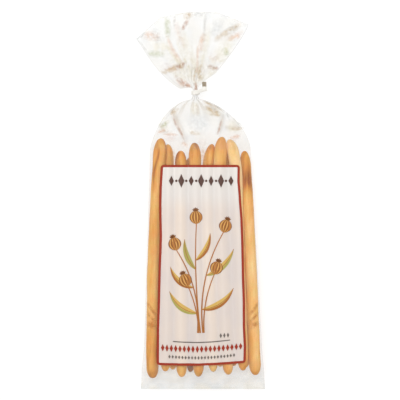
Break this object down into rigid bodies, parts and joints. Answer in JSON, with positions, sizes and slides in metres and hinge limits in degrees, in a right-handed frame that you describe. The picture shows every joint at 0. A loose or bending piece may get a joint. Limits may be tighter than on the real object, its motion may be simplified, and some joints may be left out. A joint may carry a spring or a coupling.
{
  "type": "bag of grissini breadsticks",
  "caption": "Clear film bag of long thin breadsticks, tied at the neck below a pleated open top, with a bordered printed panel on its front; it lies on its back.",
  "frame": {"origin": "centre of the bag's outline, at the height of the back face that it lies on", "axes": "+Z out of the bag's printed front, +Y along the breadsticks towards the tied neck, +X to the right as the front is looked at"},
  "size_m": [0.1073, 0.3175, 0.0223],
  "materials": {
    "bag": "clear film over golden breadsticks",
    "label_panel": "printed field on the film",
    "label_border": "printed line",
    "neck_tie": "flat ribbon",
    "breadsticks": "baked crust",
    "print_ink": "printed marks"
  },
  "bodies": {
    "root": {"bag": "bag", "label_panel": "label_panel", "label_border": "label_border", "neck_tie": "neck_tie"}
  },
  "joints": []
}
